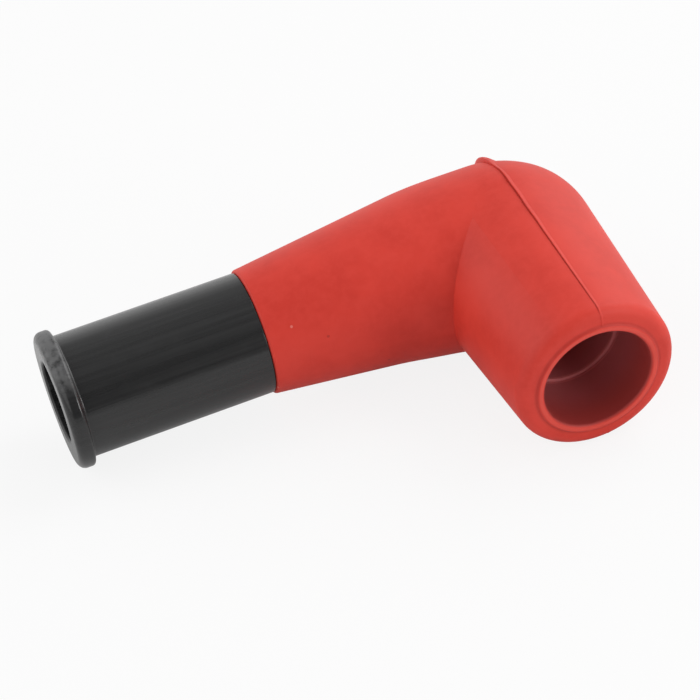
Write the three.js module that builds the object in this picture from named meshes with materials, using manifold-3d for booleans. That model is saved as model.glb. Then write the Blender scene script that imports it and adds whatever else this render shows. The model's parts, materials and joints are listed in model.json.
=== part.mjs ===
// A spark plug cap: a moulded silicone elbow on a black lead sleeve, with its contacts inside.
// Sizes are in millimetres. Before it is laid down, the centre of the elbow's rounded corner is at
// the origin, the barrel points along -Y to the plug, and the arm along -X to the lead.
import * as THREE from 'three';
import { mergeVertices } from 'three/addons/utils/BufferGeometryUtils.js';
import Module from 'manifold-3d';

const wasm = await Module();
wasm.setup();

// Elbow boot, outside
const elbowRadius = 10.6; // ball that rounds the corner and carries both legs
const barrelReach = 23.6; // from the ball's centre to the plug mouth
const mouthRadius = 9.2;
const armReach = 30.2; // from the barrel's line to the arm's open end
const armEndRadius = 7.25;
const armRise = 2.0; // the arm's line lies this far above the ball's centre, away from the mouth
const armBendFrom = 11.0; // the arm's line starts to drop towards the ball here
const armBendTo = -5.0; // and has reached it here, past the barrel's line
const cornerSwell = 1.2; // the arm swells this much into the inner corner
const cornerSwellReach = 16.0; // from the barrel's line to where the swell begins
const cornerSwellFull = 9.5; // and to where it is full
const cornerSwellFade = 3.0; // inside the barrel it fades out again over this length
const cornerSwellSpread = 1.6; // a higher power keeps it nearer the inner corner
const mouthLip = 0.4; // rounding of the edges at the plug mouth
const armLip = 0.2; // and at the arm's open end

// Parting ridge of the moulding, in a plane through the barrel
const seamAside = 1.1; // towards the elbow's back, from the barrel's line
const seamWidth = 0.7;
const seamAtMouth = 0.12; // how far it stands out at the mouth
const seamAtElbow = 0.5; // and round the corner

// Plug bore
const plugBoreRadius = 6.25; // clears the plug's insulator
const plugBoreDepth = 7.6;
const gripBoreRadius = 5.75; // grips the insulator's top
const stepChamfer = 0.5;

// Plug terminal and its spring wire
const cupRadius = 4.3;
const cupBoreRadius = 3.3; // takes the plug's terminal nut
const cupBoreDepth = 7.4;
const cupBase = 1.0; // metal behind the cup's bore
const cupBaseAt = 3.0; // from the ball's centre to the back of the cup
const stemRadius = 1.9;
const stemPast = 2.6; // the stem runs this far past the arm's line
const barbRadius = 2.6; // collar on the stem that holds it in the boot
const barbLength = 0.7;
const slotWidth = 1.0;
const slotDepth = 6.2;
const ringWire = 0.4; // radius of the wire
const ringInset = 0.35; // depth of its groove
const ringFromEdge = 2.2; // from the cup's open edge to the wire's middle
const ringOpening = 30; // degrees left open in the split ring

// Suppressor resistor
const resistorLength = 13.0;
const rodRadius = 2.0;
const capWall = 0.45;
const capLength = 3.2;
const capEnd = 0.5; // thickness of a cap's end

// Contact spring
const springLength = 3.8; // as it is held in the cap
const springRadius = 2.1; // to the middle of its wire
const springWire = 0.35;
const springTurns = 3.5;

// Lead screw
const screwHeadRadius = 3.9;
const screwHead = 1.2;
const screwNeckRadius = 1.9;
const screwLength = 12.0; // threaded part
const screwCoreRadius = 1.2;
const screwTipRadius = 0.4;
const threadWire = 0.4; // radius of the thread's rounded ridge
const threadPitch = 1.8;

// Lead sleeve
const sleeveLength = 23.0; // part that stands out of the arm
const sleeveRadius = 7.0;
const flangeRadius = 7.9;
const flangeThickness = 1.9;
const flangeRound = 0.9;
const sleeveMouthRadius = 4.7;
const sleeveMouthDepth = 16.0;
const leadBoreRadius = 3.75; // for a 7 mm ignition lead
const bottomLip = 1.5; // web at the spigot's inner end, which the lead butts on
const spigotRadius = 5.6;
const beadHeight = 0.35; // bead that holds the spigot in the arm
const beadLength = 1.2;
const edgeRound = 0.35;

const clearance = 0.3; // between neighbouring pieces

// Fineness of the round shapes
const outerSides = 48;
const innerSides = 36;
const smallSides = 24;
const wireSides = 6;

const degree = Math.PI / 180;

// Stations along the arm's line, measured from the barrel's line
const resistorAt = stemRadius + clearance;
const springAt = resistorAt + resistorLength + clearance;
const screwStepAt = springAt + springLength;
const screwHeadAt = screwStepAt + clearance;
const spigotAt = screwHeadAt + screwHead + clearance;
const shoulderAt = armReach + clearance;
const sleeveEndAt = shoulderAt + sleeveLength;

// Fits that follow from the pieces they hold
const stemBoreRadius = stemRadius + clearance;
const capRadius = rodRadius + clearance + capWall;
const barbAt = capRadius - armRise + clearance; // the collar clears the resistor's cap
const resistorBoreRadius = Math.max(capRadius, springRadius + springWire) + clearance;
const screwSeatRadius = screwHeadRadius + clearance;
const spigotBoreRadius = spigotRadius + clearance;
const cupOpenAt = cupBaseAt + cupBase + cupBoreDepth;
const stemTopAt = -(armRise + stemPast);

// A straight side that leaves the corner's ball as a tangent and reaches a given end.
function tangentSide(endRadius, reach) {
  return Math.atan2(reach, endRadius) - Math.acos(elbowRadius / Math.hypot(reach, endRadius));
}
const barrelSlope = tangentSide(mouthRadius, barrelReach);
const armSlope = tangentSide(armEndRadius, armReach);

function smooth(from, to, value) {
  const t = THREE.MathUtils.clamp((value - from) / (to - from), 0, 1);
  return t * t * (3 - 2 * t);
}

// Points on a round, as [radius, station] pairs from one angle to another.
function round(centreRadius, centreStation, radius, fromDegrees, toDegrees, steps) {
  const points = [];
  for (let i = 0; i <= steps; i += 1) {
    const angle = (fromDegrees + ((toDegrees - fromDegrees) * i) / steps) * degree;
    points.push([
      centreRadius + radius * Math.cos(angle),
      centreStation + radius * Math.sin(angle),
    ]);
  }
  return points;
}

// A closed solid from a geometry whose faces already meet along their edges.
function solidOf(geometry) {
  const bare = geometry.clone();
  bare.deleteAttribute('normal');
  bare.deleteAttribute('uv');
  const merged = mergeVertices(bare, 1e-4);
  const index = merged.index.array;
  const kept = [];
  for (let i = 0; i < index.length; i += 3) {
    const [a, b, c] = [index[i], index[i + 1], index[i + 2]];
    if (a !== b && b !== c && c !== a) kept.push(a, b, c);
  }
  return new wasm.Manifold(new wasm.Mesh({
    numProp: 3,
    vertProperties: new Float32Array(merged.attributes.position.array),
    triVerts: new Uint32Array(kept),
  }));
}

function geometryOf(solid) {
  const mesh = solid.getMesh();
  const geometry = new THREE.BufferGeometry();
  geometry.setAttribute('position', new THREE.BufferAttribute(mesh.vertProperties, 3));
  geometry.setIndex(new THREE.BufferAttribute(mesh.triVerts, 1));
  geometry.computeVertexNormals();
  return geometry;
}

// Turns a profile of [radius, station] pairs about the Y axis. A profile that leaves the axis and
// comes back to it makes a plain solid, and one that is closed on itself makes a ring.
function turned(profile, sides) {
  const points = profile.map(([radius, station]) => new THREE.Vector2(Math.max(radius, 0), station));
  return new THREE.LatheGeometry(points, sides);
}

function ringProfile(profile) {
  return [...profile, profile[0]];
}

// Stations run towards the mouth on the barrel, and towards the lead on the arm.
function alongBarrel(geometry) {
  return geometry.rotateX(Math.PI);
}
function alongArm(geometry) {
  return geometry.rotateZ(Math.PI / 2).translate(0, armRise, 0);
}

class Helix extends THREE.Curve {
  constructor(radius, from, length, turns, endRadius = radius) {
    super();
    Object.assign(this, { radius, from, length, turns, endRadius });
  }

  getPoint(t, target = new THREE.Vector3()) {
    const angle = 2 * Math.PI * this.turns * t;
    const radius = this.radius + (this.endRadius - this.radius) * t;
    return target.set(
      radius * Math.cos(angle),
      this.from + this.length * t,
      radius * Math.sin(angle),
    );
  }
}

function wireAlong(curve, wireRadius, steps) {
  const section = new THREE.Shape();
  section.absarc(0, 0, wireRadius, 0, 2 * Math.PI, false);
  return new THREE.ExtrudeGeometry(section, {
    extrudePath: curve,
    steps,
    curveSegments: wireSides / 2,
    bevelEnabled: false,
  });
}

// The arm with the rounded corner at its inner end. Its rings drop from the arm's line to the
// ball's centre on the way in, and swell a little into the inner corner.
function armSolid() {
  const slope = armSlope / degree;
  const ringStep = 1.5; // between the rings of the stretch that bends
  const sideRadius = (station) => (
    (elbowRadius - station * Math.sin(armSlope)) / Math.cos(armSlope));
  const profile = round(0, 0, elbowRadius, -90, slope, 12);
  profile[0][0] = 0;
  const sideFrom = elbowRadius * Math.sin(armSlope);
  const rings = Math.ceil((cornerSwellReach - sideFrom) / ringStep);
  for (let i = 1; i <= rings; i += 1) {
    const station = sideFrom + ((cornerSwellReach - sideFrom) * i) / rings;
    profile.push([sideRadius(station), station]);
  }
  profile.push([sideRadius(armReach - armLip), armReach - armLip]);
  profile.push(...round(armEndRadius - armLip, armReach - armLip, armLip, 30, 90, 2));
  profile.push([0, armReach]);
  const geometry = turned(profile, outerSides).rotateZ(Math.PI / 2);
  const position = geometry.attributes.position;
  for (let i = 0; i < position.count; i += 1) {
    const [x, y, z] = [position.getX(i), position.getY(i), position.getZ(i)];
    const rise = armRise * smooth(armBendTo, armBendFrom, -x);
    const swellHere = smooth(0, cornerSwellFade, -x) - smooth(cornerSwellFull, cornerSwellReach, -x);
    const inward = Math.max(0, -y / Math.max(Math.hypot(y, z), 1e-6)) ** cornerSwellSpread;
    const swell = cornerSwell * swellHere * inward;
    position.setY(i, y + rise - swell);
  }
  return solidOf(geometry);
}

function barrelSolid() {
  const hiddenStep = 0.15; // keeps the barrel's blind end under the corner's skin
  const from = elbowRadius * Math.sin(barrelSlope);
  const endCap = elbowRadius - hiddenStep - 1;
  const profile = [
    [0, -endCap],
    [endCap * Math.sin(45 * degree), -endCap * Math.cos(45 * degree)],
    [elbowRadius * Math.cos(barrelSlope) - hiddenStep, from - hiddenStep],
    [elbowRadius * Math.cos(barrelSlope), from],
    [mouthRadius + mouthLip * Math.tan(barrelSlope), barrelReach - mouthLip],
    ...round(mouthRadius - mouthLip, barrelReach - mouthLip, mouthLip, 30, 90, 2),
    [0, barrelReach],
  ];
  return solidOf(alongBarrel(turned(profile, outerSides)));
}

// The parting ridge: a thin band round the boot's outline, seen along the arm's line.
function seamSolid() {
  const rooted = 1.2; // the band's foot under the skin
  const outline = (atMouth, atElbow) => {
    const endY = -(barrelReach - mouthLip);
    const tilt = barrelSlope;
    const ball = elbowRadius + atElbow;
    const points = [new THREE.Vector2(endY, mouthRadius + atMouth)];
    for (let i = 0; i <= 24; i += 1) {
      const angle = Math.PI / 2 + tilt - ((Math.PI + 2 * tilt) * i) / 24;
      points.push(new THREE.Vector2(ball * Math.cos(angle), ball * Math.sin(angle)));
    }
    points.push(new THREE.Vector2(endY, -(mouthRadius + atMouth)));
    return points;
  };
  const outer = outline(seamAtMouth, seamAtElbow);
  const inner = outline(-rooted, -rooted);
  const band = new THREE.Shape([...outer, ...inner.reverse()]);
  const geometry = new THREE.ExtrudeGeometry(band, { depth: seamWidth, bevelEnabled: false });
  // the shape's own X runs along Y here, and its Y along Z
  geometry.applyMatrix4(new THREE.Matrix4().makeBasis(
    new THREE.Vector3(0, 1, 0), new THREE.Vector3(0, 0, 1), new THREE.Vector3(1, 0, 0)));
  geometry.translate(seamAside - seamWidth / 2, 0, 0);
  return solidOf(geometry);
}

// What is hollow along the barrel: the stepped plug bore and the hole for the terminal's stem.
function plugBoreSolid() {
  const cupFloorAt = cupBaseAt - clearance;
  const stepAt = barrelReach - plugBoreDepth;
  const barbBoreRadius = barbRadius + clearance;
  const profile = [
    [0, stemTopAt - clearance],
    [stemBoreRadius, stemTopAt - clearance],
    [stemBoreRadius, barbAt - clearance],
    [barbBoreRadius, barbAt - clearance],
    [barbBoreRadius, barbAt + barbLength + clearance],
    [stemBoreRadius, barbAt + barbLength + clearance],
    [stemBoreRadius, cupFloorAt],
    [gripBoreRadius, cupFloorAt],
    [gripBoreRadius, stepAt - stepChamfer],
    [plugBoreRadius, stepAt],
    [plugBoreRadius, barrelReach - mouthLip],
    [plugBoreRadius + mouthLip, barrelReach + 0.01],
    [plugBoreRadius + mouthLip, barrelReach + 1],
    [0, barrelReach + 1],
  ];
  return solidOf(alongBarrel(turned(profile, innerSides)));
}

// What is hollow along the arm: the resistor's bore, the screw's seat and the spigot's socket.
function leadBoreSolid() {
  const beadBoreRadius = spigotBoreRadius + beadHeight;
  const beadAt = spigotAt + beadLength;
  const profile = [
    [0, 0],
    [resistorBoreRadius, 0],
    [resistorBoreRadius, screwStepAt],
    [screwSeatRadius, screwStepAt],
    [screwSeatRadius, spigotAt - clearance],
    [spigotBoreRadius, spigotAt - clearance],
    [spigotBoreRadius, beadAt - clearance],
    [beadBoreRadius, beadAt + beadHeight - clearance],
    [beadBoreRadius, beadAt + beadLength],
    [spigotBoreRadius, beadAt + beadHeight + beadLength],
    [spigotBoreRadius, armReach + 1],
    [0, armReach + 1],
  ];
  return solidOf(alongArm(turned(profile, innerSides)));
}

function elbowBoot() {
  return geometryOf(
    armSolid().add(barrelSolid()).add(seamSolid())
      .subtract(plugBoreSolid()).subtract(leadBoreSolid()));
}

function leadSleeve() {
  const flangeAt = sleeveEndAt - flangeThickness;
  const beadAt = spigotAt + beadLength;
  const boreEndAt = sleeveEndAt - sleeveMouthDepth;
  const profile = ringProfile([
    [screwNeckRadius + clearance, spigotAt],
    [spigotRadius - edgeRound, spigotAt],
    [spigotRadius, spigotAt + edgeRound],
    [spigotRadius, beadAt],
    [spigotRadius + beadHeight, beadAt + beadHeight],
    [spigotRadius + beadHeight, beadAt + beadLength - clearance],
    [spigotRadius, beadAt + beadHeight + beadLength - clearance],
    [spigotRadius, shoulderAt],
    [sleeveRadius - edgeRound, shoulderAt],
    [sleeveRadius, shoulderAt + edgeRound],
    [sleeveRadius, flangeAt - edgeRound],
    [sleeveRadius + edgeRound, flangeAt],
    [flangeRadius - edgeRound, flangeAt],
    [flangeRadius, flangeAt + edgeRound],
    ...round(flangeRadius - flangeRound, sleeveEndAt - flangeRound, flangeRound, 0, 90, 4),
    [sleeveMouthRadius + edgeRound, sleeveEndAt],
    [sleeveMouthRadius, sleeveEndAt - edgeRound],
    [sleeveMouthRadius, boreEndAt],
    [leadBoreRadius, boreEndAt - (sleeveMouthRadius - leadBoreRadius)],
    [leadBoreRadius, spigotAt + bottomLip],
    [screwNeckRadius + clearance, spigotAt + bottomLip],
  ]);
  return geometryOf(solidOf(alongArm(turned(profile, outerSides))));
}

function leadScrew() {
  const neckEndAt = spigotAt + bottomLip;
  const tipAt = neckEndAt + screwLength;
  const core = turned([
    [0, screwHeadAt],
    [screwHeadRadius, screwHeadAt],
    [screwHeadRadius, screwHeadAt + screwHead],
    [screwNeckRadius, screwHeadAt + screwHead],
    [screwNeckRadius, neckEndAt],
    [screwCoreRadius, neckEndAt],
    [screwTipRadius, tipAt - 1],
    [0, tipAt],
  ], smallSides);
  const threadLength = screwLength - 2;
  const thread = wireAlong(
    new Helix(screwCoreRadius, neckEndAt + 0.6, threadLength, threadLength / threadPitch,
      screwTipRadius + threadWire / 2),
    threadWire,
    Math.round((12 * threadLength) / threadPitch));
  return geometryOf(solidOf(alongArm(core)).add(solidOf(alongArm(thread))));
}

function contactSpring() {
  const from = springAt + springWire;
  const length = springLength - 2 * springWire;
  const coil = wireAlong(
    new Helix(springRadius, from, length, springTurns), springWire, Math.round(14 * springTurns));
  return geometryOf(solidOf(alongArm(coil)));
}

function resistorRod() {
  const from = resistorAt + capEnd + clearance;
  const to = resistorAt + resistorLength - capEnd - clearance;
  return geometryOf(solidOf(alongArm(turned(
    [[0, from], [rodRadius, from], [rodRadius, to], [0, to]], smallSides))));
}

// A cap's closed end is at endAt, and its open end is capLength further in the given direction.
function resistorCap(endAt, direction) {
  const inner = rodRadius + clearance;
  const profile = [
    [0, endAt],
    [capRadius, endAt],
    [capRadius, endAt + direction * capLength],
    [inner, endAt + direction * capLength],
    [inner, endAt + direction * capEnd],
    [0, endAt + direction * capEnd],
  ];
  return geometryOf(solidOf(alongArm(turned(direction > 0 ? profile : profile.reverse(), smallSides))));
}

function plugTerminal() {
  const grooveAt = cupOpenAt - ringFromEdge;
  const body = turned([
    [0, stemTopAt],
    [stemRadius - edgeRound, stemTopAt],
    [stemRadius, stemTopAt + edgeRound],
    [stemRadius, barbAt],
    [barbRadius, barbAt],
    [barbRadius, barbAt + barbLength / 2],
    [stemRadius, barbAt + barbLength],
    [stemRadius, cupBaseAt],
    [cupRadius - edgeRound, cupBaseAt],
    [cupRadius, cupBaseAt + edgeRound],
    [cupRadius, grooveAt - ringWire],
    [cupRadius - ringInset, grooveAt - ringWire],
    [cupRadius - ringInset, grooveAt + ringWire],
    [cupRadius, grooveAt + ringWire],
    [cupRadius, cupOpenAt - edgeRound],
    [cupRadius - edgeRound, cupOpenAt],
    [cupBoreRadius + edgeRound, cupOpenAt],
    [cupBoreRadius, cupOpenAt - edgeRound],
    [cupBoreRadius, cupOpenAt - cupBoreDepth],
    [0, cupOpenAt - cupBoreDepth],
  ], smallSides);
  let solid = solidOf(alongBarrel(body));
  for (const turn of [45, 135]) {
    const slot = new THREE.BoxGeometry(4 * cupRadius, 2 * slotDepth, slotWidth);
    slot.translate(0, -cupOpenAt, 0).rotateY(turn * degree);
    solid = solid.subtract(solidOf(slot));
  }
  return geometryOf(solid);
}

function terminalRing() {
  const radius = cupRadius - ringInset + clearance + ringWire;
  const turn = 1 - ringOpening / 360;
  const ring = wireAlong(
    new Helix(radius, cupOpenAt - ringFromEdge, 0, turn), ringWire, smallSides);
  return geometryOf(solidOf(alongBarrel(ring)));
}

// Finishes
const finishes = {
  silicone: { color: '#c8372e', roughness: 0.55, metalness: 0 },
  blackPlastic: { color: '#242324', roughness: 0.35, metalness: 0 },
  brass: { color: '#c9a24e', roughness: 0.3, metalness: 1 },
  springSteel: { color: '#9a9a98', roughness: 0.3, metalness: 1 },
  plated: { color: '#c8c6bf', roughness: 0.25, metalness: 1 },
  ceramic: { color: '#d9cfb8', roughness: 0.6, metalness: 0 },
};

const cap = new THREE.Group();
function place(name, geometry, finish) {
  const mesh = new THREE.Mesh(geometry, new THREE.MeshStandardMaterial(finishes[finish]));
  mesh.name = name;
  cap.add(mesh);
}

place('elbow_boot', elbowBoot(), 'silicone');
place('lead_sleeve', leadSleeve(), 'blackPlastic');
place('lead_screw', leadScrew(), 'brass');
place('contact_spring', contactSpring(), 'springSteel');
place('resistor_cap_lead', resistorCap(resistorAt + resistorLength, -1), 'plated');
place('resistor_rod', resistorRod(), 'ceramic');
place('resistor_cap_plug', resistorCap(resistorAt, 1), 'plated');
place('plug_terminal', plugTerminal(), 'brass');
place('terminal_ring', terminalRing(), 'springSteel');

// How it lies: on the lower run of the parting ridge, which is a straight line, and on the
// flange. The first turn levels the ridge, and the second brings the flange down to it.
const lowMouth = new THREE.Vector2(-(barrelReach - mouthLip), -(mouthRadius + seamAtMouth));
const ridgeTurn = -Math.PI / 2 - barrelSlope;
const lowElbow = new THREE.Vector2(Math.cos(ridgeTurn), Math.sin(ridgeTurn))
  .multiplyScalar(elbowRadius + seamAtElbow);
const lieRoll = Math.atan2(lowMouth.y - lowElbow.y, lowElbow.x - lowMouth.x);
const ridgeDepth = -(Math.sin(lieRoll) * lowMouth.x + Math.cos(lieRoll) * lowMouth.y);
const flangeDepth = flangeRadius - Math.sin(lieRoll) * armRise;
const liePitch = Math.atan2(ridgeDepth - flangeDepth, sleeveEndAt - flangeRound + seamAside);
cap.rotation.x = lieRoll;
const laid = new THREE.Group();
laid.rotation.y = -liePitch;
laid.add(cap);

// The finished part stands with the middle of its box's underside at the origin
const part = new THREE.Group();
part.add(laid);
part.updateMatrixWorld(true);
const box = new THREE.Box3().setFromObject(part, true);
laid.position.set(-(box.min.x + box.max.x) / 2, -(box.min.y + box.max.y) / 2, -box.min.z);

export default part;
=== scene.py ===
# Spark plug cap: a red silicone elbow on a black lead sleeve, lying on a pale floor
import json
from math import acos, atan2, ceil, cos, hypot, pi, radians, sin, sqrt, tan

import bmesh
import bpy
from mathutils import Matrix, Vector


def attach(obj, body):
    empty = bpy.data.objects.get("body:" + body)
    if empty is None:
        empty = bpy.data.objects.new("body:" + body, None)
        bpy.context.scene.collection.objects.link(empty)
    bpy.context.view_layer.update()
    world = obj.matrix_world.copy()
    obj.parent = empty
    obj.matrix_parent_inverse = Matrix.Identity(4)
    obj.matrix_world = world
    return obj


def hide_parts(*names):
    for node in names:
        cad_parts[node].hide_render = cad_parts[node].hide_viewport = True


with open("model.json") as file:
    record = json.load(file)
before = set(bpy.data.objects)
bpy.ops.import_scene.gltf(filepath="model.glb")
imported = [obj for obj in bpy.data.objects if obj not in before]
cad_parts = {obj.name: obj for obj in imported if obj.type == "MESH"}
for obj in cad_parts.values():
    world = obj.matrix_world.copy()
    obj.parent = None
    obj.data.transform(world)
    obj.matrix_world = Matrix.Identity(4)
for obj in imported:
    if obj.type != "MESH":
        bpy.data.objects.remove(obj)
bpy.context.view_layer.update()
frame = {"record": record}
print("stage: frame loaded")

mm = 0.001  # the pieces are drawn in millimetres and placed in metres
clearance = 0.3  # between pieces that touch on the real cap
overrun = 1.0  # a bore's cutter goes on this far past the face that it opens
samePoint = 1e-4  # points nearer to each other than this are merged
shortestEdge = 0.001  # joins and cuts leave shorter ones, which are dissolved

# A turned piece is drawn about Z and then laid along the barrel or along the arm
alongBarrel = Matrix.Rotation(radians(90), 4, "X")
alongArm = Matrix.Rotation(radians(-90), 4, "Y")


def eased(start, stop, value):
    t = min(1.0, max(0.0, (value - start) / (stop - start)))
    return t * t * (3 - 2 * t)


def arc(centreRadius, centreStation, radius, fromAngle, toAngle, steps):
    angles = [fromAngle + (toAngle - fromAngle) * i / steps for i in range(steps + 1)]
    return [(centreRadius + radius * cos(a), centreStation + radius * sin(a)) for a in angles]


def rounded(corners, steps=6):  # (radius, station), with a third number where a corner is rounded
    points = []
    for i, corner in enumerate(corners):
        here = Vector(corner[:2])
        if len(corner) == 2:
            points.append(here)
            continue
        back = (Vector(corners[i - 1][:2]) - here).normalized()
        onward = (Vector(corners[(i + 1) % len(corners)][:2]) - here).normalized()
        half = back.angle(onward) / 2
        centre = here + (back + onward).normalized() * corner[2] / sin(half)
        first = (here + back * corner[2] / tan(half) - centre).normalized()
        last = (here + onward * corner[2] / tan(half) - centre).normalized()
        points += [centre + first.slerp(last, k / steps) * corner[2] for k in range(steps + 1)]
    return points


def turned(profile, sides, closed=False):  # a profile of (radius, station) turned about Z
    bm = bmesh.new()
    verts = [bm.verts.new((max(radius, 0.0), 0.0, station)) for radius, station in profile]
    edges = [bm.edges.new(pair) for pair in zip(verts, verts[1:])]
    if closed:
        edges.append(bm.edges.new((verts[-1], verts[0])))
    bmesh.ops.spin(bm, geom=verts + edges, cent=(0, 0, 0), axis=(0, 0, 1), dvec=(0, 0, 0),
                   angle=2 * pi, steps=sides, use_merge=True, use_duplicate=False)
    bmesh.ops.remove_doubles(bm, verts=bm.verts, dist=samePoint)
    bmesh.ops.recalc_face_normals(bm, faces=bm.faces)
    return bm


def coiled(radius, wire, fromStation, length, turns, steps, wireSides=16):  # a round wire's coil
    bm = bmesh.new()
    section = bmesh.ops.create_circle(bm, cap_ends=False, segments=wireSides, radius=wire)["verts"]
    bmesh.ops.rotate(bm, verts=section, cent=(0, 0, 0), matrix=Matrix.Rotation(pi / 2, 3, "X"))
    bmesh.ops.translate(bm, verts=section, vec=(radius, 0, fromStation))
    bmesh.ops.spin(bm, geom=bm.verts[:] + bm.edges[:], cent=(0, 0, 0), axis=(0, 0, 1),
                   dvec=(0, 0, length / steps), angle=2 * pi * turns, steps=steps,
                   use_merge=False, use_duplicate=False)
    bmesh.ops.remove_doubles(bm, verts=bm.verts, dist=samePoint)
    bmesh.ops.holes_fill(bm, edges=[edge for edge in bm.edges if edge.is_boundary], sides=wireSides)
    bmesh.ops.recalc_face_normals(bm, faces=bm.faces)
    return bm


def pieceOf(bm, name, turn=Matrix.Identity(4)):  # an object of this mesh, turned or moved as asked
    bmesh.ops.transform(bm, matrix=turn, verts=bm.verts)
    mesh = bpy.data.meshes.new(name)
    bm.to_mesh(mesh)
    bm.free()
    piece = bpy.data.objects.new(name, mesh)
    bpy.context.scene.collection.objects.link(piece)
    return piece


def combine(piece, other, operation):  # joins or cuts the piece with the other one, which is used up
    join = piece.modifiers.new("join", "BOOLEAN")
    join.operation = operation
    join.object = other
    join.solver = "EXACT"
    shaped = piece.evaluated_get(bpy.context.evaluated_depsgraph_get())
    result = bpy.data.meshes.new_from_object(shaped)
    piece.modifiers.clear()
    old = piece.data
    piece.data = result
    result.name = piece.name
    bpy.data.meshes.remove(old)
    bpy.data.objects.remove(other)


def clean(piece):  # takes out the slivers that joins and cuts leave
    bm = bmesh.new()
    bm.from_mesh(piece.data)
    bmesh.ops.remove_doubles(bm, verts=bm.verts, dist=shortestEdge)
    bmesh.ops.dissolve_degenerate(bm, edges=bm.edges, dist=shortestEdge)
    bmesh.ops.triangulate(bm, faces=bm.faces[:])
    sameCorners = {}
    for face in bm.faces:
        sameCorners.setdefault(frozenset(face.verts), []).append(face)
    folded = [face for faces in sameCorners.values() if len(faces) > 1 for face in faces]
    bmesh.ops.delete(bm, geom=folded, context="FACES")
    bm.to_mesh(piece.data)
    bm.free()


def settle(piece, finish, node, sharpFrom=30):  # places a finished piece and gives its finish
    piece.data.transform(capPlace @ Matrix.Scale(mm, 4))
    piece.data.shade_smooth()
    piece.data.set_sharp_from_angle(angle=radians(sharpFrom))
    piece.data.materials.append(finish)
    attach(piece, "root")
    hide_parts(node)
    print("piece:", piece.name, len(piece.data.polygons), "faces")


class Wire:  # one output of a node; arithmetic on it adds Math nodes
    def __init__(self, finish, socket):
        self.finish = finish
        self.socket = socket

    def math(self, operation, *others):
        inputs = dict(enumerate((self, *others)))
        return self.finish.add("ShaderNodeMath", {"operation": operation}, inputs)

    def __add__(self, other):
        return self.math("ADD", other)

    def __radd__(self, other):
        return self.math("ADD", other)

    def __sub__(self, other):
        return self.math("SUBTRACT", other)

    def __rsub__(self, other):
        return self.math("MULTIPLY_ADD", -1.0, other)

    def __mul__(self, other):
        return self.math("MULTIPLY", other)

    def __rmul__(self, other):
        return self.math("MULTIPLY", other)

    def __pow__(self, other):
        return self.math("POWER", other)

    def between(self, low, high):  # 0 below low and 1 above high, with a soft step
        return self.finish.add("ShaderNodeMapRange", {"interpolation_type": "SMOOTHSTEP"},
                               {"Value": self, "From Min": low, "From Max": high})

    def band(self, edges, start=0.0):  # a soft step up and a soft step down, counted from start
        up, full, down, gone = (start + edge for edge in edges)
        return self.between(up, full) * (1 - self.between(down, gone))


class Finish:  # the nodes of a material or of the world
    def __init__(self, owner):
        owner.use_nodes = True
        self.owner = owner
        self.tree = owner.node_tree
        self.tree.nodes.clear()

    def add(self, kind, settings=None, inputs=None, output=0):
        node = self.tree.nodes.new(kind)
        for key, value in (settings or {}).items():
            setattr(node, key, value)
        for key, value in (inputs or {}).items():
            self.feed(node.inputs[key], value)
        return Wire(self, node.outputs[output]) if node.outputs else None

    def feed(self, socket, value):
        if isinstance(value, Wire):
            self.tree.links.new(value.socket, socket)
        else:
            socket.default_value = value

    def capCoordinates(self):  # millimetres in the cap's own axes
        objectPlace = self.add("ShaderNodeTexCoord", output="Object")
        return self.add("ShaderNodeMapping", {"vector_type": "TEXTURE"}, {
            "Vector": objectPlace, "Location": capPlace.translation,
            "Rotation": capPlace.to_euler(), "Scale": (mm, mm, mm)})

    def parts(self, vector):
        node = self.add("ShaderNodeSeparateXYZ", inputs={0: vector}).socket.node
        return [Wire(self, output) for output in node.outputs]

    def noise(self, vector, scale, detail, roughness=0.6):  # scale is in waves per millimetre
        return self.add("ShaderNodeTexNoise", {}, {
            "Vector": vector, "Scale": scale, "Detail": detail, "Roughness": roughness})

    def drawn(self, vector, scales, detail):  # a noise with its own scale along each axis
        longer = self.add("ShaderNodeVectorMath", {"operation": "MULTIPLY"}, {0: vector, 1: scales})
        return self.noise(longer, 1.0, detail)

    def blend(self, factor, first, second):  # two colours
        return self.add("ShaderNodeMix", {"data_type": "RGBA"},
                        {0: factor, 6: first, 7: second}, output=2)

    def bump(self, height, strength, distance):  # distance is the real height of a full step
        return self.add("ShaderNodeBump", {}, {
            "Height": height, "Strength": strength, "Distance": distance * mm})

    def close(self, inputs):
        surface = self.add("ShaderNodeBsdfPrincipled", {}, inputs)
        self.add("ShaderNodeOutputMaterial", {}, {"Surface": surface})
        return self.owner


# Red boot. Stations run from the corner ball's centre, towards the plug or the lead.
boot = {
    "ball": 10.6, "ballSteps": 48,
    "barrelReach": 23.6, "mouthRadius": 9.2, "mouthLip": 1.3, "mouthSteps": 12,
    "faceSink": 0.24, "beadWidth": 0.75, "beadRound": 0.3,  # the bead stands round the bore's mouth
    "armReach": 30.2, "armEndRadius": 7.25, "armLip": 0.3,
    "armRise": 2.0, "bendFrom": 11.0, "bendTo": -5.0,  # the arm's line lies off the ball's centre
    "swell": 0.65, "swellFade": 3.0, "swellFull": 9.5, "swellReach": 16.0, "swellSpread": 1.6,
    "blindUnder": 0.15, "blindBack": 1.0, "blindAngle": -40, "blindSteps": 8,  # hidden in the ball
    "sides": 192, "ringStep": 0.5, "sharpFrom": 22,
}
bore = {
    "plugRadius": 6.25, "plugDepth": 7.6, "gripRadius": 5.75, "flare": 0.4, "flareSteps": 8,
    "ledgeDrop": 0.175, "ledgeRound": 0.15, "gripRound": 0.1, "bottomRound": 0.3,
    "sides": 128,
}
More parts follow.
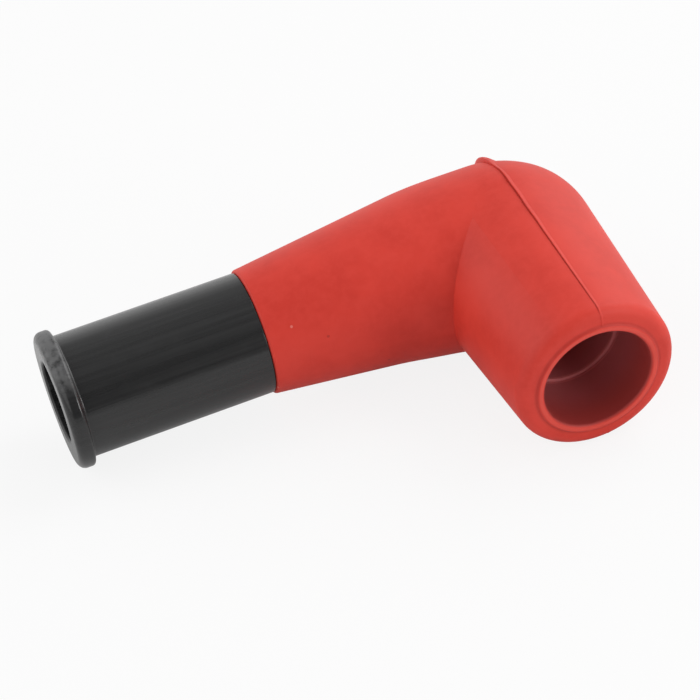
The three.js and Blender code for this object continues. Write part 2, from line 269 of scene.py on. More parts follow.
# Parting ridge: a steep flank towards the arm and a slow fall on the other side. It is high and wide
# on the corner's back and thins to a line on the barrel, which goes on over the mouth's face.
ridge = {
    "aside": 0.85, "asideAtBack": 0.55, "leanOver": 0.8, "rooted": 0.8, "steps": 360,
    "high": (0.90, 0.24, 0.05, 0.05),  # on the back, below the corner, at the lip and on the face
    "wide": (2.2, 0.56, 0.30, 0.32),
    "wave": 0.035, "waveLength": 4.6, "waveEnds": (0.5, 0.7),  # it isn't quite straight
    "lowAtBack": 0.28, "lowFrom": 2.0, "lowTo": 8.0,  # the middle of the back lacks this share
    "underside": 0.4,  # share of the height that the ridge has on the side that lies down
    "thinFrom": 8.0, "thinTo": 14.0,  # along the skin, from the middle of the corner's back
    "section": ((0.0, 0.0), (0.03, 0.75), (0.08, 1.0), (0.20, 0.98), (0.36, 0.84), (0.52, 0.60),
                (0.70, 0.31), (0.86, 0.09), (1.0, 0.0)),  # shares of the width and height
}
silicone = {
    "deep": (0.600, 0.032, 0.018, 1), "plain": (0.680, 0.043, 0.026, 1), "plainFrom": (0.3, 0.7),
    "pale": (0.700, 0.055, 0.037, 1), "paleFrom": (0.35, 0.75), "paleShare": 0.35,
    "clouds": 0.16, "mottle": 1.1, "grain": 5.0,
    "dustPale": (0.80, 0.25, 0.21, 1), "dustPaleShare": 0.6,
    "dustDark": (0.30, 0.02, 0.016, 1), "dustDarkShare": 0.5, "dustPaleFrom": (0.49, 0.51),
    "dustPlaces": 0.30, "dustKept": (0.72, 0.74), "dustEdge": (0.035, 0.060),
    # painted shade inside the bore, darker near its mouth and greyer deeper in
    "shadeAtBoreBottom": (0.45, 0.108, 0.115, 1), "shadeAtBoreMouth": (0.31, 0.034, 0.030, 1),
    "boreDeep": 9.0, "boreShallow": 1.0, "boreEdge": (-0.05, 0.3), "faceEdge": (-1.0, -0.4),
    # a painted highlight on the bore's ledge
    "ledgeHighlight": (0.62, 0.17, 0.17, 1), "ledgeHighlightShare": 0.7, "ledgeBand": (-0.6, -0.3, 0.0, 0.2),
    # a painted highlight on the bead round the mouth
    "beadHighlight": (0.80, 0.110, 0.080, 1), "beadHighlightShare": 0.35, "beadHighlightBand": (-0.55, -0.35, -0.15, 0.02),
    # painted shade in the groove outside the bead and along the ridge's flank
    "paintedShade": (0.30, 0.014, 0.010, 1), "shadeOnFace": 0.35, "shadeBand": (-0.02, 0.12, 0.2, 0.6),
    "shadeAtRidge": 0.45, "footBand": (-0.16, -0.03, 0.0, 0.1), "footAbove": (7, 8), "footEnds": (0, 4),
    "roughness": 0.46, "specular": 0.45, "ior": 1.43, "bump": 0.5, "bumpHeight": 0.06,
}


def siliconeRed():
    finish = Finish(bpy.data.materials.new("silicone_red"))
    place = finish.capCoordinates()
    x, y, z = finish.parts(place)
    out = -1 * y  # towards the mouth
    clouds = finish.noise(place, silicone["clouds"], 3.0, 0.55)
    mottle = finish.noise(place, silicone["mottle"], 4.0)
    grain = finish.noise(place, silicone["grain"], 2.0)
    colour = finish.blend(clouds.between(*silicone["plainFrom"]), silicone["deep"], silicone["plain"])
    paler = mottle.between(*silicone["paleFrom"]) * silicone["paleShare"]
    colour = finish.blend(paler, colour, silicone["pale"])
    # a few specks of dust, pale and dark
    specks = finish.add("ShaderNodeTexVoronoi", {}, {
        "Vector": place, "Scale": silicone["dustPlaces"]}).socket.node
    near = 1 - Wire(finish, specks.outputs["Distance"]).between(*silicone["dustEdge"])
    pick, tone = finish.parts(Wire(finish, specks.outputs["Color"]))[:2]
    dust = near * pick.between(*silicone["dustKept"])
    isPale = tone.between(*silicone["dustPaleFrom"])
    colour = finish.blend(dust * isPale * silicone["dustPaleShare"], colour, silicone["dustPale"])
    colour = finish.blend(dust * (1 - isPale) * silicone["dustDarkShare"], colour, silicone["dustDark"])
    # painted shade: the bore is painted darker than the outside, and its ledge gets a painted highlight
    radius = (x * x + z * z) ** 0.5
    reach = boot["barrelReach"]
    inBore = 1 - radius.between(*(bore["plugRadius"] + edge for edge in silicone["boreEdge"]))
    nearMouth = out.between(reach - silicone["boreDeep"], reach - silicone["boreShallow"])
    darkTone = finish.blend(nearMouth, silicone["shadeAtBoreBottom"], silicone["shadeAtBoreMouth"])
    onLedge = out.band(silicone["ledgeBand"], reach - bore["plugDepth"])
    darkTone = finish.blend(onLedge * silicone["ledgeHighlightShare"], darkTone, silicone["ledgeHighlight"])
    colour = finish.blend(inBore * out.between(0, 2), colour, darkTone)
    # the bead round the mouth gets a painted highlight, and painted shade lies in the groove outside it
    # and along the ridge's flank
    bead = bore["plugRadius"] + boot["beadWidth"]
    onFace = out.between(*(reach + edge for edge in silicone["faceEdge"]))
    beadHighlight = radius.band(silicone["beadHighlightBand"], bead) * onFace * silicone["beadHighlightShare"]
    paintedShade = radius.band(silicone["shadeBand"], bead) * onFace * silicone["shadeOnFace"]
    foot = x.band(silicone["footBand"], ridge["aside"]) * z.between(*silicone["footAbove"])
    foot *= (1 - y.between(*silicone["footEnds"])) * (1 - onFace)
    colour = finish.blend(beadHighlight, colour, silicone["beadHighlight"])
    colour = finish.blend(paintedShade + foot * silicone["shadeAtRidge"], colour, silicone["paintedShade"])
    roughness = silicone["roughness"] + mottle * 0.10 + clouds * 0.06
    height = grain * 0.36 + mottle * 0.25 + clouds * 0.5 + dust * 0.4
    return finish.close({
        "Base Color": colour, "Roughness": roughness,
        "Specular IOR Level": silicone["specular"], "IOR": silicone["ior"],
        "Normal": finish.bump(height, silicone["bump"], silicone["bumpHeight"])})


def slopeTo(endRadius, reach):  # of a straight side that leaves the corner's ball as a tangent
    return atan2(reach, endRadius) - acos(boot["ball"] / hypot(reach, endRadius))


def armShape():
    slope = slopeTo(boot["armEndRadius"], boot["armReach"])
    ball = boot["ball"]
    profile = arc(0, 0, ball, radians(-90), slope, boot["ballSteps"])
    profile[0] = (0, -ball)
    leaves = ball * sin(slope)  # the station where the straight side leaves the ball
    rings = ceil((boot["swellReach"] - leaves) / boot["ringStep"])
    for i in range(1, rings + 1):
        station = leaves + (boot["swellReach"] - leaves) * i / rings
        profile.append(((ball - station * sin(slope)) / cos(slope), station))
    end = [profile[-1], (boot["armEndRadius"], boot["armReach"], boot["armLip"]), (0, boot["armReach"])]
    bm = turned(profile[:-1] + rounded(end), boot["sides"])
    bmesh.ops.transform(bm, matrix=alongArm, verts=bm.verts)
    for vert in bm.verts:  # the arm drops to the ball's centre, and swells into the inner corner
        x, y, z = vert.co
        inward = max(0.0, -y / max(hypot(y, z), 1e-6)) ** boot["swellSpread"]
        full = eased(0, boot["swellFade"], -x) - eased(boot["swellFull"], boot["swellReach"], -x)
        rise = boot["armRise"] * eased(boot["bendTo"], boot["bendFrom"], -x)
        vert.co.y += rise - boot["swell"] * full * inward
    return pieceOf(bm, "armShape")


def barrelShape():
    slope = slopeTo(boot["mouthRadius"], boot["barrelReach"])
    ball, under = boot["ball"], boot["blindUnder"]
    blind = ball - under - boot["blindBack"]
    profile = arc(0, 0, blind, radians(-90), radians(boot["blindAngle"]), boot["blindSteps"])
    profile[0] = (0, -blind)
    face = boot["barrelReach"] - boot["faceSink"]
    bead = bore["plugRadius"] + boot["beadWidth"]
    profile += rounded([
        (ball * cos(slope) - under, ball * sin(slope) - under),
        (ball * cos(slope), ball * sin(slope)),
        (boot["mouthRadius"], face, boot["mouthLip"]),
        (bead + boot["faceSink"], face, boot["faceSink"]),
        (bead, boot["barrelReach"], boot["beadRound"]),
        (0, boot["barrelReach"])], boot["mouthSteps"])
    return pieceOf(turned(profile, boot["sides"]), "barrelShape", alongBarrel)


def skinAt(along):  # the boot's outline over the corner's back: place (y, z) and the way out
    slope = slopeTo(boot["mouthRadius"], boot["barrelReach"])
    ball, lip = boot["ball"], boot["mouthLip"]
    back = pi / 2 + slope
    side = hypot(boot["barrelReach"] - boot["faceSink"] - ball * sin(slope),
                 boot["mouthRadius"] - ball * cos(slope)) - lip * tan((pi / 2 - slope) / 2)
    place = Vector((ball, 0))
    turn = 0
    # round the ball, straight along the barrel, round the lip and straight over the face
    for radius, length in ((ball, ball * back), (0, side), (lip, lip * (pi - back)), (0, along)):
        step = min(along, length)
        along -= step
        if radius:
            place -= radius * Vector((cos(turn), sin(turn)))
            turn += step / radius
            place += radius * Vector((cos(turn), sin(turn)))
        else:
            place += step * Vector((-sin(turn), cos(turn)))
    return place, Vector((cos(turn), sin(turn)))


def ridgeSize(sizes, along, length):  # on the back, below the corner, at the lip and on the face
    onBack, under, atLip, onFace = sizes
    toFace = length - (boot["mouthRadius"] - bore["plugRadius"])
    size = onBack + (under - onBack) * eased(ridge["thinFrom"], ridge["thinTo"], along)
    size += (atLip - under) * min(1, max(0, (along - ridge["thinTo"]) / (toFace - ridge["thinTo"])))
    return size + (onFace - atLip) * eased(toFace, length, along)


def ridgeShape():  # a strip that is laid over the boot's skin, and rooted in it
    slope = slopeTo(boot["mouthRadius"], boot["barrelReach"])
    length = (boot["ball"] * (pi / 2 + slope) + boot["barrelReach"]
              + boot["mouthRadius"] - bore["plugRadius"] - bore["flare"])
    columns = len(ridge["section"]) - 1
    bm = bmesh.new()
    bmesh.ops.create_grid(bm, x_segments=columns, y_segments=ridge["steps"], size=1)
    roots = bmesh.ops.extrude_face_region(bm, geom=bm.faces[:])["geom"]
    roots = [item for item in roots if isinstance(item, bmesh.types.BMVert)]
    bmesh.ops.translate(bm, vec=(0, 0, -1), verts=roots)
    for vert in bm.verts:
        across, share = ridge["section"][round((vert.co.x + 1) / 2 * columns)]
        along = abs(vert.co.y) * length
        side = -1 if vert.co.y < 0 else 1
        thinned = eased(ridge["thinFrom"], ridge["thinTo"], along)
        place, out = skinAt(along)
        lean = eased(0, boot["ball"] * ridge["leanOver"], place.x)
        aside = (ridge["aside"] + (ridge["asideAtBack"] - ridge["aside"]) * lean
                 + across * ridgeSize(ridge["wide"], along, length))
        wavy = thinned - eased(*(length * end for end in ridge["waveEnds"]), along)
        aside += ridge["wave"] * wavy * sin(2 * pi * along / ridge["waveLength"])
        high = share * ridgeSize(ridge["high"], along, length)
        high *= 1 - ridge["lowAtBack"] * (1 - eased(ridge["lowFrom"], ridge["lowTo"], along))
        if side < 0:
            high *= 1 - (1 - ridge["underside"]) * thinned
        if vert.co.z < -0.5:
            high = -ridge["rooted"]
        around = boot["ball"] if place.x > 0 else max(place.y, boot["mouthRadius"] - boot["mouthLip"])
        drop = around - sqrt(around ** 2 - aside ** 2)  # the skin falls away to the side
        place += out * high - (out if place.x > 0 else Vector((0, 1))) * drop
        vert.co = (aside, place.x, side * place.y)
    bmesh.ops.recalc_face_normals(bm, faces=bm.faces)
    return pieceOf(bm, "ridgeShape")


def plugBoreShape():
    reach = boot["barrelReach"]
    step = reach - bore["plugDepth"]
    stem = terminal["stemRadius"] + clearance
    barb = terminal["barbRadius"] + clearance
    barbEnd = barbAt + terminal["barbLength"] + clearance
    bottom = terminal["cupBaseAt"] - clearance
    flare = bore["flare"]
    profile = rounded([
        (0, stemTopAt - clearance), (stem, stemTopAt - clearance),
        (stem, barbAt - clearance), (barb, barbAt - clearance), (barb, barbEnd), (stem, barbEnd),
        (stem, bottom), (bore["gripRadius"], bottom, bore["bottomRound"]),
        (bore["gripRadius"], step - bore["ledgeDrop"], bore["gripRound"]),
        (bore["plugRadius"], step, bore["ledgeRound"])])
    profile += arc(bore["plugRadius"] + flare, reach - flare, flare, pi, pi / 2, bore["flareSteps"])
    profile += [(bore["plugRadius"] + flare, reach + overrun), (0, reach + overrun)]
    return pieceOf(turned(profile, bore["sides"]), "plugBoreShape", alongBarrel)


def leadBoreShape():
    spigot = sleeve["spigotRadius"] + clearance
    seat = screw["headRadius"] + clearance
    rest = max(capRadius, spring["radius"] + spring["wire"]) + clearance
    bead = spigotAt + sleeve["beadLength"]
    beadRadius = spigot + sleeve["beadHeight"]
    end = boot["armReach"] + overrun
    profile = [
        (0, 0), (rest, 0), (rest, screwStepAt), (seat, screwStepAt), (seat, spigotAt - clearance),
        (spigot, spigotAt - clearance), (spigot, bead - clearance),
        (beadRadius, bead + sleeve["beadHeight"] - clearance), (beadRadius, bead + sleeve["beadLength"]),
        (spigot, bead + sleeve["beadHeight"] + sleeve["beadLength"]), (spigot, end), (0, end)]
    return pieceOf(turned(profile, bore["sides"]), "leadBoreShape", armLine)


def makeBoot(finish):
    piece = armShape()
    piece.name = "elbowMoulding"
    combine(piece, barrelShape(), "UNION")
    combine(piece, ridgeShape(), "UNION")
    combine(piece, plugBoreShape(), "DIFFERENCE")
    combine(piece, leadBoreShape(), "DIFFERENCE")
    clean(piece)
    settle(piece, finish, "elbow_boot", boot["sharpFrom"])


# Black sleeve, with its flange at the lead's end and its spigot in the arm
sleeve = {
    "length": 23.0, "radius": 7.0, "shoulderRound": 0.14, "shoulderGap": 0.04,
    "flangeRadius": 7.9, "flangeThickness": 1.9, "flangeRound": 0.9, "backRound": 0.45, "fillet": 0.28,
    "mouthRadius": 4.7, "mouthDepth": 16.0, "mouthRound": 0.3, "leadRadius": 3.75, "leadRound": 0.4,
    "bottomLip": 1.5, "spigotRadius": 5.6, "spigotRound": 0.3,
    "beadHeight": 0.35, "beadLength": 1.2, "beadFoot": 0.2, "beadRound": 0.1,
    "sides": 160, "steps": 12,
}
blackPlastic = {
    "base": (0.0130, 0.0130, 0.0133, 1),
    "streaked": (0.0205, 0.0205, 0.0208, 1), "streakedFrom": (0.35, 0.7),
    "smudged": (0.026, 0.026, 0.0265, 1), "smudgedFrom": (0.55, 0.8), "smudgedShare": 0.4,
    # scuffs on the flange's upper side, painted lighter there as a painted highlight
    "scuffedAndLit": (0.105, 0.105, 0.106, 1), "scuffedAndLitFrom": (0.25, 0.6), "scuffedAndLitAbove": (5, 7.2),
    "streaks": (0.035, 1.6, 1.6), "fineStreaks": (0.12, 5.0, 5.0),  # drawn out along the sleeve
    "smudges": 0.35, "mottle": 1.3, "grain": 8.0,
    "roughness": 0.13, "specular": 0.5, "ior": 1.5, "bump": 0.5, "bumpHeight": 0.05,
}


def plasticBlack():
    finish = Finish(bpy.data.materials.new("plastic_black"))
    place = finish.capCoordinates()
    x, y, z = finish.parts(place)
    streaks = finish.drawn(place, blackPlastic["streaks"], 3.0)
    fineStreaks = finish.drawn(place, blackPlastic["fineStreaks"], 2.0)
    smudges = finish.noise(place, blackPlastic["smudges"], 3.0)
    mottle = finish.noise(place, blackPlastic["mottle"], 3.0)
    grain = finish.noise(place, blackPlastic["grain"], 2.0)
    streaked = streaks.between(*blackPlastic["streakedFrom"])
    colour = finish.blend(streaked, blackPlastic["base"], blackPlastic["streaked"])
    smudged = smudges.between(*blackPlastic["smudgedFrom"]) * blackPlastic["smudgedShare"]
    colour = finish.blend(smudged, colour, blackPlastic["smudged"])
    # the flange's upper side is painted lighter: scuffs, with a painted highlight where the light falls
    # on top
    flange = sleeveEndAt - sleeve["flangeThickness"]
    onFlange = (-1 * x).between(flange - 0.3, flange + 0.3) * z.between(*blackPlastic["scuffedAndLitAbove"])
    scuffedAndLit = onFlange * mottle.between(*blackPlastic["scuffedAndLitFrom"])
    colour = finish.blend(scuffedAndLit, colour, blackPlastic["scuffedAndLit"])
    roughness = blackPlastic["roughness"] + streaks * 0.10 + smudges * 0.10 + scuffedAndLit * 0.25
    height = streaks * 0.5 + fineStreaks * 0.25 + grain * 0.06
    return finish.close({
        "Base Color": colour, "Roughness": roughness,
        "Specular IOR Level": blackPlastic["specular"], "IOR": blackPlastic["ior"],
        "Normal": finish.bump(height, blackPlastic["bump"], blackPlastic["bumpHeight"])})


def makeSleeve(finish):
    shoulder = boot["armReach"] + sleeve["shoulderGap"]
    flange = sleeveEndAt - sleeve["flangeThickness"]
    neck = screw["neckRadius"] + clearance
    bottom = spigotAt + sleeve["bottomLip"]
    bead = spigotAt + sleeve["beadLength"]
    beadTop = bead + sleeve["beadLength"] - clearance
    boreEnd = sleeveEndAt - sleeve["mouthDepth"]
    spigot = sleeve["spigotRadius"]
    beadRadius = spigot + sleeve["beadHeight"]
    leadEnd = boreEnd - sleeve["mouthRadius"] + sleeve["leadRadius"]
    profile = rounded([
        (neck, spigotAt), (spigot, spigotAt, sleeve["spigotRound"]), (spigot, bead, sleeve["beadFoot"]),
        (beadRadius, bead + sleeve["beadHeight"], sleeve["beadRound"]),
        (beadRadius, beadTop, sleeve["beadRound"]),
        (spigot, beadTop + sleeve["beadHeight"], sleeve["beadFoot"]),
        (spigot, shoulder), (sleeve["radius"], shoulder, sleeve["shoulderRound"]),
        (sleeve["radius"], flange, sleeve["fillet"]),
        (sleeve["flangeRadius"], flange, sleeve["backRound"]),
        (sleeve["flangeRadius"], sleeveEndAt, sleeve["flangeRound"]),
        (sleeve["mouthRadius"], sleeveEndAt, sleeve["mouthRound"]),
        (sleeve["mouthRadius"], boreEnd, sleeve["leadRound"]),
        (sleeve["leadRadius"], leadEnd, sleeve["leadRound"]),
        (sleeve["leadRadius"], bottom), (neck, bottom)], sleeve["steps"])
    piece = pieceOf(turned(profile, sleeve["sides"], closed=True), "sleeveMoulding", armLine)
    settle(piece, finish, "lead_sleeve")


# Metals of the inner pieces: marks are the noise's scales along the cap's axes
brass = {"name": "brass_turned", "darkTone": (0.40, 0.26, 0.10, 1), "bright": (0.72, 0.52, 0.22, 1),
         "roughness": 0.22, "marks": (3.0, 3.0, 3.0)}
steel = {"name": "spring_wire", "darkTone": (0.30, 0.29, 0.28, 1), "bright": (0.55, 0.55, 0.54, 1),
         "roughness": 0.25, "marks": (2.0, 2.0, 2.0)}
tin = {"name": "tin_plate", "darkTone": (0.50, 0.49, 0.46, 1), "bright": (0.72, 0.71, 0.68, 1),
       "roughness": 0.20, "marks": (0.5, 5.0, 5.0)}
metalWear = {"tarnish": 0.6, "dullFrom": (0.35, 0.7), "bump": 0.4, "bumpHeight": 0.02}


def metal(kind):  # turned, drawn or plated, with fine marks and a little tarnish
    finish = Finish(bpy.data.materials.new(kind["name"]))
    place = finish.capCoordinates()
    marks = finish.drawn(place, kind["marks"], 2.0)
    tarnish = finish.noise(place, metalWear["tarnish"], 3.0)
    colour = finish.blend(tarnish.between(*metalWear["dullFrom"]), kind["bright"], kind["darkTone"])
    return finish.close({
        "Base Color": colour, "Metallic": 1.0,
        "Roughness": kind["roughness"] + tarnish * 0.15 + marks * 0.1,
        "Normal": finish.bump(marks, metalWear["bump"], metalWear["bumpHeight"])})


# Brass screw that the lead is turned onto
screw = {
    "headRadius": 3.9, "head": 1.2, "headRound": 0.25, "neckRadius": 1.9, "neckRound": 0.3,
    "length": 12.0, "coreRadius": 1.2, "tip": 1.0, "tipRadius": 0.4, "tipRound": 0.3,
    "threadWire": 0.4, "threadPitch": 1.8, "threadFrom": 0.6, "threadShort": 2.0, "stepsPerTurn": 28,
    "sides": 64,
}


def makeScrew(finish):
    headEnd = screwHeadAt + screw["head"]
    neckEnd = spigotAt + sleeve["bottomLip"]
    tip = neckEnd + screw["length"]
    core = rounded([
        (0, screwHeadAt), (screw["headRadius"], screwHeadAt, screw["headRound"]),
        (screw["headRadius"], headEnd, screw["headRound"]),
        (screw["neckRadius"], headEnd), (screw["neckRadius"], neckEnd, screw["neckRound"]),
        (screw["coreRadius"], neckEnd), (screw["tipRadius"], tip - screw["tip"], screw["tipRound"]),
        (0, tip)])
    piece = pieceOf(turned(core, screw["sides"]), "leadScrew", armLine)
    start = neckEnd + screw["threadFrom"]
    length = screw["length"] - screw["threadShort"]
    turns = length / screw["threadPitch"]
    thread = coiled(screw["coreRadius"], screw["threadWire"], start, length, turns,
                    round(screw["stepsPerTurn"] * turns))
    thinning = (screw["tipRadius"] + screw["threadWire"] / 2) / screw["coreRadius"]
    for vert in thread.verts:  # the thread follows the core down to its tip
        drop = screw["coreRadius"] * (1 - thinning) * (vert.co.z - start) / length
        vert.co -= Vector((vert.co.x, vert.co.y, 0)).normalized() * drop
    combine(piece, pieceOf(thread, "thread", armLine), "UNION")
    clean(piece)
    settle(piece, finish, "lead_screw")


# Spring between the screw's head and the resistor
spring = {"length": 3.8, "radius": 2.1, "wire": 0.35, "turns": 3.5, "stepsPerTurn": 40}


def makeSpring(finish):
    wire = spring["wire"]
    bm = coiled(spring["radius"], wire, springAt + wire, spring["length"] - 2 * wire,
                spring["turns"], round(spring["stepsPerTurn"] * spring["turns"]))
    settle(pieceOf(bm, "contactSpring", armLine), finish, "contact_spring")


# Suppressor: a ceramic rod with a plated cap on each end
resistor = {
    "length": 13.0, "rodRadius": 2.0, "capWall": 0.45, "capLength": 3.2, "capEnd": 0.5,
    "rounding": 0.2, "lipRound": 0.2025, "sides": 64,
}
ceramic = {
    "deep": (0.60, 0.52, 0.39, 1), "pale": (0.72, 0.64, 0.50, 1), "paleFrom": (0.3, 0.7),
    "grain": 3.0, "roughness": 0.55, "bump": 0.4, "bumpHeight": 0.03,
}


def ceramicPale():
    finish = Finish(bpy.data.materials.new("ceramic_pale"))
    grain = finish.noise(finish.capCoordinates(), ceramic["grain"], 4.0)
    colour = finish.blend(grain.between(*ceramic["paleFrom"]), ceramic["deep"], ceramic["pale"])
    return finish.close({
        "Base Color": colour, "Roughness": ceramic["roughness"] + grain * 0.2,
        "Normal": finish.bump(grain, ceramic["bump"], ceramic["bumpHeight"])})


def makeRod(finish):
    inset = resistor["capEnd"] + clearance
    radius, rounding = resistor["rodRadius"], resistor["rounding"]
    start = resistorAt + inset
    stop = resistorAt + resistor["length"] - inset
    profile = rounded([(0, start), (radius, start, rounding), (radius, stop, rounding), (0, stop)])
    piece = pieceOf(turned(profile, resistor["sides"]), "resistorRod", armLine)
    settle(piece, finish, "resistor_rod")


def makeResistorCap(finish, name, node, end, way):  # closed at its end, open the given way
    inner = resistor["rodRadius"] + clearance
    lip, rounding = resistor["lipRound"], resistor["rounding"]
    openEnd = end + way * resistor["capLength"]
    floorAt = end + way * resistor["capEnd"]
    profile = rounded([
        (0, end), (capRadius, end, rounding), (capRadius, openEnd, lip),
        (inner, openEnd, lip), (inner, floorAt, rounding), (0, floorAt)])
    piece = pieceOf(turned(profile, resistor["sides"]), name, armLine)
    settle(piece, finish, node)


# Brass terminal: a slotted cup over the plug's nut, on a stem with a barb, and a ring round the cup
terminal = {
    "cupRadius": 4.3, "cupBore": 3.3, "cupDepth": 7.4, "cupBase": 1.0, "cupBaseAt": 3.0,
    "stemRadius": 1.9, "stemPast": 2.6, "stemFoot": 0.15, "barbRadius": 2.6, "barbLength": 0.7,
    "slotWidth": 1.0, "slotDepth": 6.2, "slots": (45, 135),
    "ringWire": 0.4, "ringInset": 0.35, "ringFromEdge": 2.2, "ringOpening": 30, "ringSteps": 88,
    "rounding": 0.3, "barbRound": 0.1, "grooveRound": 0.06, "sides": 96,
}


def makeTerminal(finish):
    cup, stem, barb = terminal["cupRadius"], terminal["stemRadius"], terminal["barbRadius"]
    soft, barbRound, grooveRound = (terminal[key] for key in ("rounding", "barbRound", "grooveRound"))
    groove = cupOpenAt - terminal["ringFromEdge"]
    wire = terminal["ringWire"]
    grooved = cup - terminal["ringInset"]
    cupFloor = cupOpenAt - terminal["cupDepth"]
    profile = rounded([
        (0, stemTopAt), (stem, stemTopAt, soft), (stem, barbAt), (barb, barbAt, barbRound),
        (barb, barbAt + terminal["barbLength"] / 2, barbRound),
        (stem, barbAt + terminal["barbLength"], barbRound),
        (stem, terminal["cupBaseAt"], terminal["stemFoot"]), (cup, terminal["cupBaseAt"], soft),
        (cup, groove - wire, grooveRound), (grooved, groove - wire, grooveRound),
        (grooved, groove + wire, grooveRound), (cup, groove + wire, grooveRound),
        (cup, cupOpenAt, soft), (terminal["cupBore"], cupOpenAt, soft),
        (terminal["cupBore"], cupFloor, soft), (0, cupFloor)])
    piece = pieceOf(turned(profile, terminal["sides"]), "plugTerminal", alongBarrel)
    for turn in terminal["slots"]:
        bm = bmesh.new()
        bmesh.ops.create_cube(bm, size=1)
        size = (4 * cup, 2 * terminal["slotDepth"], terminal["slotWidth"])
        bmesh.ops.scale(bm, vec=size, verts=bm.verts)
        bmesh.ops.translate(bm, vec=(0, -cupOpenAt, 0), verts=bm.verts)
        combine(piece, pieceOf(bm, "slot", Matrix.Rotation(radians(turn), 4, "Y")), "DIFFERENCE")
    clean(piece)
    settle(piece, finish, "plug_terminal")


def makeRing(finish):
    radius = terminal["cupRadius"] - terminal["ringInset"] + clearance + terminal["ringWire"]
    bm = coiled(radius, terminal["ringWire"], cupOpenAt - terminal["ringFromEdge"], 0,
                1 - terminal["ringOpening"] / 360, terminal["ringSteps"])
    settle(pieceOf(bm, "terminalRing", alongBarrel), finish, "terminal_ring")


# Stations along the arm, counted from the barrel's line
armLine = Matrix.Translation((0, boot["armRise"], 0)) @ alongArm
resistorAt = terminal["stemRadius"] + clearance
springAt = resistorAt + resistor["length"] + clearance
screwStepAt = springAt + spring["length"]
screwHeadAt = screwStepAt + clearance
spigotAt = screwHeadAt + screw["head"] + clearance
sleeveEndAt = boot["armReach"] + clearance + sleeve["length"]
capRadius = resistor["rodRadius"] + clearance + resistor["capWall"]
# Stations along the barrel, counted from the corner ball's centre
barbAt = capRadius - boot["armRise"] + clearance
cupOpenAt = terminal["cupBaseAt"] + terminal["cupBase"] + terminal["cupDepth"]
stemTopAt = -(boot["armRise"] + terminal["stemPast"])

# The cap's own axes as it lies: the frame names the mouth's face and the flange's face
mounts = {mount["name"]: mount for mount in frame["record"]["mounts"]}
barrelWay = Vector(mounts["plug_mouth_face"]["axis"]).normalized()
armWay = Vector(mounts["lead_end_face"]["axis"]).normalized()
upWay = armWay.cross(barrelWay)
faceMiddle = (boot["mouthRadius"] + bore["plugRadius"]) / 2  # the mouth mount's height over the line
cornerCentre = (Vector(mounts["plug_mouth_face"]["pos_m"])
                - barrelWay * boot["barrelReach"] * mm - upWay * faceMiddle * mm)
capPlace = Matrix((-armWay, -barrelWay, upWay)).transposed().to_4x4()
capPlace.translation = cornerCentre

# Camera, from the picture's own perspective: place and aim are in the cap's axes, in millimetres
view = {
    "place": (-75.96, -202.37, 183.06), "ahead": (0.19797, 0.71690, -0.66848),
    "up": (0.33166, 0.59276, 0.73392), "lens": 128.26, "sensor": 36, "clipFrom": 0.005,
}


def addCamera():
    data = bpy.data.cameras.new("camera")
    data.sensor_width = view["sensor"]
    data.lens = view["lens"]
    data.clip_start = view["clipFrom"]
    camera = bpy.data.objects.new("camera", data)
    bpy.context.scene.collection.objects.link(camera)
    turn = capPlace.to_3x3()
    back = -(turn @ Vector(view["ahead"])).normalized()
    right = (turn @ Vector(view["up"])).cross(back).normalized()
    camera.matrix_world = Matrix((right, back.cross(right), back)).transposed().to_4x4()
    camera.location = capPlace @ (Vector(view["place"]) * mm)
    bpy.context.scene.camera = camera


addCamera()
print("stage: camera set")

brassTurned, springWire, tinPlate = metal(brass), metal(steel), metal(tin)
makeBoot(siliconeRed())
makeSleeve(plasticBlack())
makeScrew(brassTurned)
makeSpring(springWire)
makeResistorCap(tinPlate, "resistorCapLead", "resistor_cap_lead", resistorAt + resistor["length"], -1)
makeRod(ceramicPale())
makeResistorCap(tinPlate, "resistorCapPlug", "resistor_cap_plug", resistorAt, 1)
makeTerminal(brassTurned)
makeRing(springWire)
print("stage: pieces made")

# Floor, world and lamps, in metres
studio = {
    "floor": 1.6, "floorColour": 0.78,
    "floorLift": 0.86,  # share of plain white that the camera sees in the floor
    "floorMirrored": 0.25, "worldMirrored": 0.03,  # the sleeve's dark band mirrors the dark front
    "overhead": 0.43, "frontToBack": 0.24,
    "frontDark": 0.10, "front": (0.6, 1.0), "backGlow": 0.35, "back": (0.75, 1.0),
    "leftBox": 1.08, "rightBox": 1.0, "aside": (0.35, 0.6), "boxBand": (0.0, 0.2, 0.7, 0.95),
    "key": {"from": (0.62, 0.10, 0.72), "away": 0.50, "size": 0.32, "power": 0.6},
    "fill": {"from": (0.55, -0.75, 0.30), "away": 0.50, "size": 0.20, "power": 0.55},
}


def raysThatSee(finish, mirrored):  # 1 for the camera and through glass, and a share in a mirror
    path = finish.add("ShaderNodeLightPath").socket.node
    camera, glass, glossy = (Wire(finish, path.outputs[kind]) for kind in
                             ("Is Camera Ray", "Is Transmission Ray", "Is Glossy Ray"))
    return (camera + glass + glossy * mirrored).math("MINIMUM", 1.0)


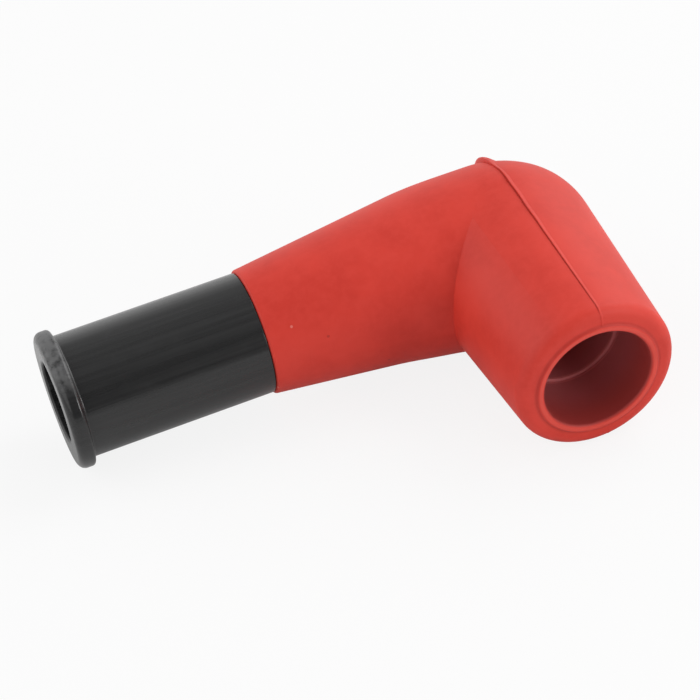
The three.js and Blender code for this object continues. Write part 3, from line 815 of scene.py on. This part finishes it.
def addFloor():
    bm = bmesh.new()
    bmesh.ops.create_grid(bm, x_segments=1, y_segments=1, size=studio["floor"] / 2)
    floor = pieceOf(bm, "floor")
    finish = Finish(bpy.data.materials.new("floor_pale"))
    tone = studio["floorColour"]
    matt = finish.add("ShaderNodeBsdfDiffuse", {}, {"Color": (tone, tone, tone, 1)})
    white = finish.add("ShaderNodeEmission", {}, {"Color": (1, 1, 1, 1), "Strength": 1.0})
    lift = raysThatSee(finish, studio["floorMirrored"]) * studio["floorLift"]
    mixed = finish.add("ShaderNodeMixShader", {}, {0: lift, 1: matt, 2: white})
    finish.add("ShaderNodeOutputMaterial", {}, {"Surface": mixed})
    floor.data.materials.append(finish.owner)


def addWorld():
    world = bpy.data.worlds.new("studio")
    bpy.context.scene.world = world
    sky = Finish(world)
    x, y, z = sky.parts(sky.add("ShaderNodeTexCoord", output="Generated"))
    # dark behind the camera, bright behind the cap, and a soft box on either side
    light = (studio["overhead"] + y * studio["frontToBack"]
             - (-1 * y).between(*studio["front"]) * studio["frontDark"]
             + y.between(*studio["back"]) * studio["backGlow"])
    boxes = (x.between(*studio["aside"]) * studio["rightBox"]
             + (-1 * x).between(*studio["aside"]) * studio["leftBox"])
    light += boxes * z.band(studio["boxBand"])
    strength = light + raysThatSee(sky, studio["worldMirrored"]) * (1 - light)
    background = sky.add("ShaderNodeBackground", {}, {"Color": (1, 1, 1, 1), "Strength": strength})
    sky.add("ShaderNodeOutputWorld", {}, {"Surface": background})


def addLamp(name):
    lamp = studio[name]
    data = bpy.data.lights.new(name, "AREA")
    data.shape = "DISK"
    data.size = lamp["size"]
    data.energy = lamp["power"]
    light = bpy.data.objects.new(name, data)
    bpy.context.scene.collection.objects.link(light)
    way = Vector(lamp["from"]).normalized()
    light.location = way * lamp["away"]
    light.rotation_euler = way.to_track_quat("Z", "Y").to_euler()


addFloor()
addWorld()
addLamp("key")
addLamp("fill")
bpy.context.scene.view_settings.view_transform = "Standard"
print("stage: floor and lights set")
